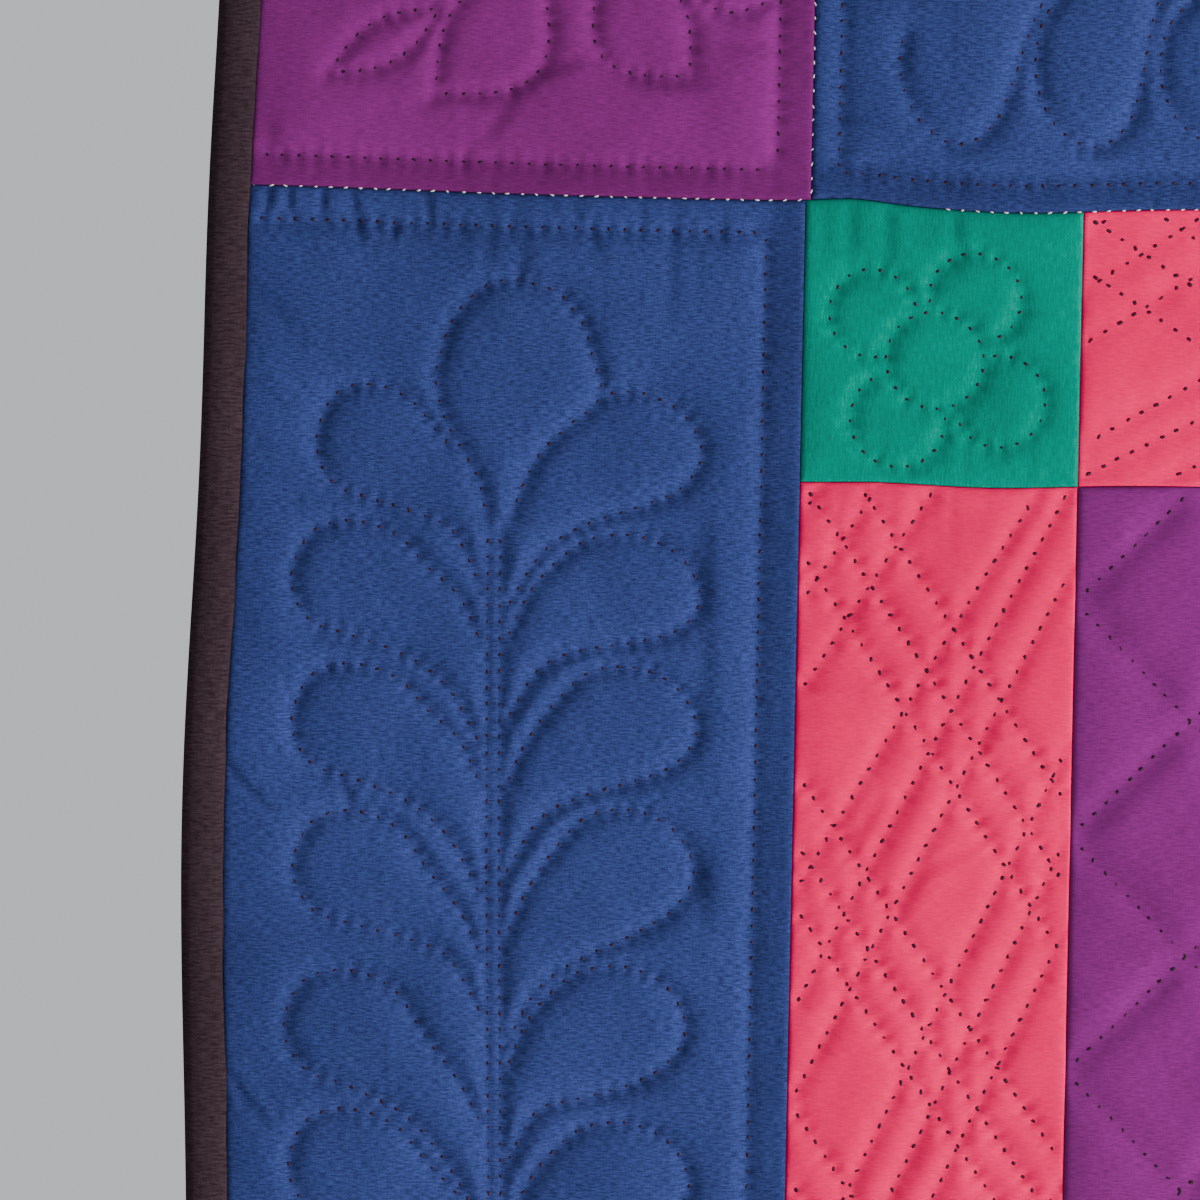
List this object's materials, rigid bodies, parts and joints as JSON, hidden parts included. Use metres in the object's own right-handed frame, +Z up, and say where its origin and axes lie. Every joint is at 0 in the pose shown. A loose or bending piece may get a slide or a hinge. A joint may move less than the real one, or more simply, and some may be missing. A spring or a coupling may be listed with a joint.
{
  "type": "quilted wall hanging",
  "caption": "Square quilted wall hanging in plain cotton patches: bordered centre, corner blocks, fern, lattice and flower quilting, narrow dark binding.",
  "frame": {"origin": "middle of the hanging's top edge, in the middle of its thickness", "axes": "+X to the right along the top edge as seen from the front, +Z up, the quilted face looks along -Y"},
  "size_m": [0.7124, 0.0098, 0.7087],
  "materials": {
    "brown_cotton": "matte plain-woven cotton",
    "blue_cotton": "matte plain-woven cotton",
    "purple_cotton": "matte plain-woven cotton",
    "green_cotton": "matte plain-woven cotton",
    "rose_cotton": "matte plain-woven cotton"
  },
  "bodies": {
    "root": {"back_cloth": "brown_cotton", "binding_bottom": "brown_cotton", "binding_left": "brown_cotton", "binding_right": "brown_cotton", "binding_top": "brown_cotton", "centre": "purple_cotton", "inner_block_lower_left": "green_cotton", "inner_block_lower_right": "green_cotton", "inner_block_upper_left": "green_cotton", "inner_block_upper_right": "green_cotton", "inner_border_bottom": "rose_cotton", "inner_border_left": "rose_cotton", "inner_border_right": "rose_cotton", "inner_border_top": "rose_cotton", "outer_block_lower_left": "purple_cotton", "outer_block_lower_right": "purple_cotton", "outer_block_upper_left": "purple_cotton", "outer_block_upper_right": "purple_cotton", "outer_border_bottom": "blue_cotton", "outer_border_left": "blue_cotton", "outer_border_right": "blue_cotton", "outer_border_top": "blue_cotton"}
  },
  "joints": []
}
